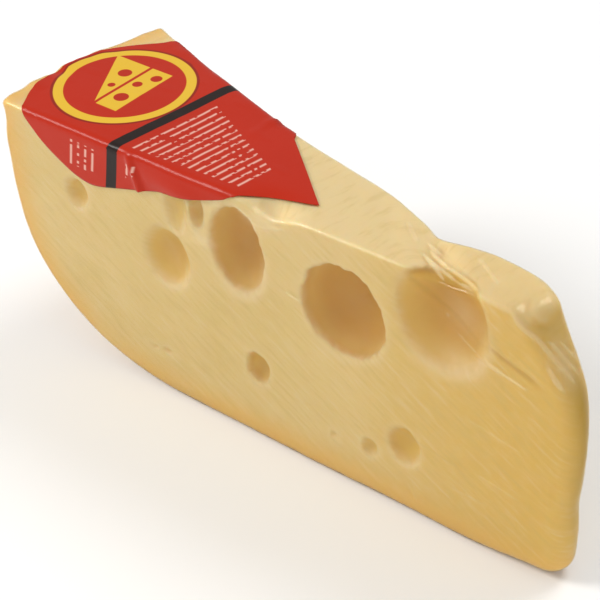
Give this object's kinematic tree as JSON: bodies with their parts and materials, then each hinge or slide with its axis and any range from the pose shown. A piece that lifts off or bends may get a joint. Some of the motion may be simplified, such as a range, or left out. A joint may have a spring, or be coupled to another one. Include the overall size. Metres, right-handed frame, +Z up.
{
  "type": "cheese wedge",
  "caption": "Wedge of holed cheese cut from a round wheel, sealed in clear shrink film with a plain printed label over its top edge.",
  "frame": {"origin": "centre of the part's box in X and Y, on the surface it rests on", "axes": "+X along the wedge from the rind to the tip, +Y from the cut face that the label hangs further down to the other cut face, +Z up"},
  "size_m": [0.1662, 0.0518, 0.0708],
  "materials": {
    "cheese": "satin",
    "film": "gloss",
    "label": "satin"
  },
  "bodies": {
    "root": {"cheese": "cheese", "film_wrap": "film", "label": "label"}
  },
  "joints": []
}
